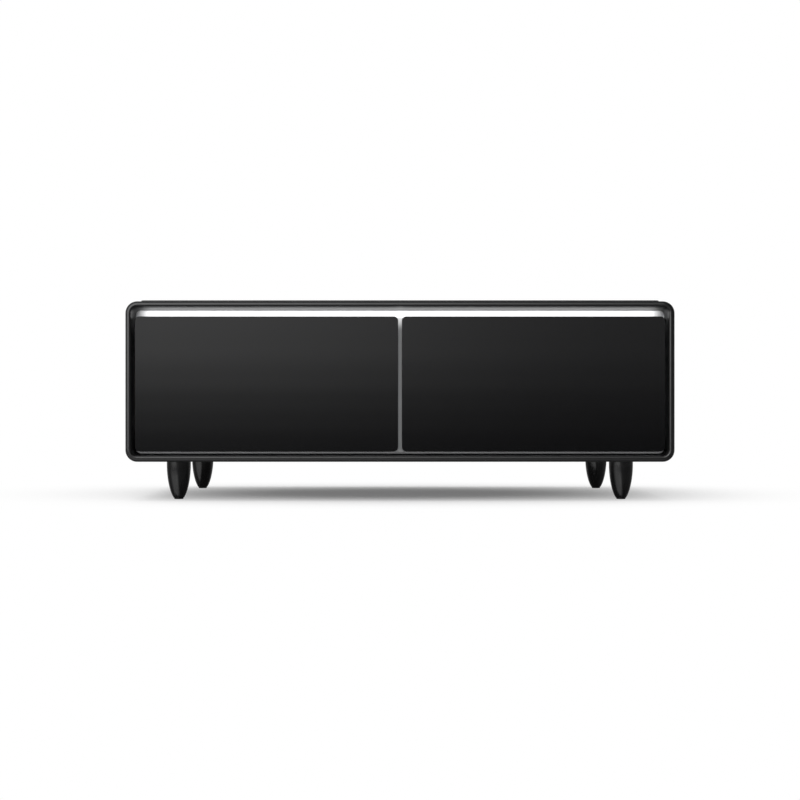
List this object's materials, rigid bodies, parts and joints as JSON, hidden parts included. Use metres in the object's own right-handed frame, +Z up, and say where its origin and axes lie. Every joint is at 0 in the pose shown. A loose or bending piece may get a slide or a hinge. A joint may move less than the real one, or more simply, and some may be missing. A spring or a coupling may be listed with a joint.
{
  "type": "refrigerator coffee table",
  "caption": "Low coffee table with a glass top and rounded cabinet that holds pull-out refrigerator drawers behind flush glass fronts, under a lit band, on tapered legs.",
  "frame": {"origin": "on the floor, under the middle of the cabinet", "axes": "+X to the right seen from the front, the drawers open towards -Y, +Z up"},
  "size_m": [1.3, 0.65, 0.476],
  "materials": {
    "cabinet_black": "satin black coat",
    "frame_black": "semi-gloss black moulding",
    "top_black_glass": "black glass, polished",
    "front_black_glass": "black glass, polished",
    "trim_grey": "light grey, satin",
    "light_white": "opal, lit",
    "aluminium": "anodised",
    "face_steel": "light grey paint",
    "liner_white": "white moulding",
    "bin_clear_grey": "frosted",
    "foam": "rigid foam",
    "tape_black": "foam tape",
    "deck_board": "pressed board",
    "circuit_green": "solder mask",
    "zinc_steel": "zinc plated",
    "machine_black": "black enamel",
    "black_plastic": "satin",
    "rubber_black": "matt",
    "gasket_grey": "soft, matt",
    "copper": "copper tube",
    "felt": "felt",
    "leg_black": "satin black lacquer"
  },
  "bodies": {
    "cabinet": {"outer_shell": "cabinet_black", "front_bezel": "frame_black", "top_glass": "top_black_glass", "top_tape": "tape_black", "top_deck": "deck_board", "touch_board": "circuit_green", "light_channel": "aluminium", "light_diffuser": "light_white", "light_strip": "light_white", "face_plate": "face_steel", "front_trim": "trim_grey", "insulation_foam": "foam", "evaporators": "aluminium", "compartment_lamps": "light_white", "temperature_sensors": "liner_white", "bulkhead": "zinc_steel", "machine_tray": "zinc_steel", "compressor": "machine_black", "compressor_mounts": "rubber_black", "terminal_box": "black_plastic", "drip_tray": "black_plastic", "condenser": "aluminium", "fan_frame": "black_plastic", "filter_drier": "copper", "refrigerant_lines": "copper", "rear_panel": "cabinet_black", "rear_screws": "zinc_steel", "mains_inlet": "black_plastic", "control_tray": "black_plastic", "control_board": "circuit_green", "leg_plates": "zinc_steel", "leg_studs": "zinc_steel", "foot_pads": "felt", "left_liner": "liner_white", "right_liner": "liner_white", "left_slide_outer": "zinc_steel", "right_slide_outer": "zinc_steel", "left_front_leg": "leg_black", "left_rear_leg": "leg_black", "right_front_leg": "leg_black", "right_rear_leg": "leg_black"},
    "left_drawer": {"left_front_glass": "front_black_glass", "left_door_panel": "liner_white", "left_door_foam": "foam", "left_grip_rail": "aluminium", "left_gasket": "gasket_grey", "left_bin": "bin_clear_grey", "left_front_brackets": "zinc_steel", "left_slide_inner": "zinc_steel"},
    "left_slide_members": {"left_slide_middle": "zinc_steel"},
    "right_drawer": {"right_front_glass": "front_black_glass", "right_door_panel": "liner_white", "right_door_foam": "foam", "right_grip_rail": "aluminium", "right_gasket": "gasket_grey", "right_bin": "bin_clear_grey", "right_front_brackets": "zinc_steel", "right_slide_inner": "zinc_steel"},
    "right_slide_members": {"right_slide_middle": "zinc_steel"},
    "fan_wheel": {"fan_rotor": "black_plastic"}
  },
  "joints": [
    {"name": "left_drawer_slide", "type": "slide", "parent": "cabinet", "child": "left_drawer", "axis": [0, -1, 0], "range_m": [0, 0.36]},
    {"name": "left_middle_slide", "type": "slide", "parent": "cabinet", "child": "left_slide_members", "axis": [0, -1, 0], "range_m": [0, 0.18]},
    {"name": "right_drawer_slide", "type": "slide", "parent": "cabinet", "child": "right_drawer", "axis": [0, -1, 0], "range_m": [0, 0.36]},
    {"name": "right_middle_slide", "type": "slide", "parent": "cabinet", "child": "right_slide_members", "axis": [0, -1, 0], "range_m": [0, 0.18]},
    {"name": "fan_spin", "type": "hinge", "parent": "cabinet", "child": "fan_wheel", "pos_m": [-0.1905, 0.2463, 0.155], "axis": [1, 0, 0], "continuous": true}
  ],
  "couplings": [
    {"joint": "left_middle_slide", "follows": "left_drawer_slide", "ratio": 0.5},
    {"joint": "right_middle_slide", "follows": "right_drawer_slide", "ratio": 0.5}
  ]
}
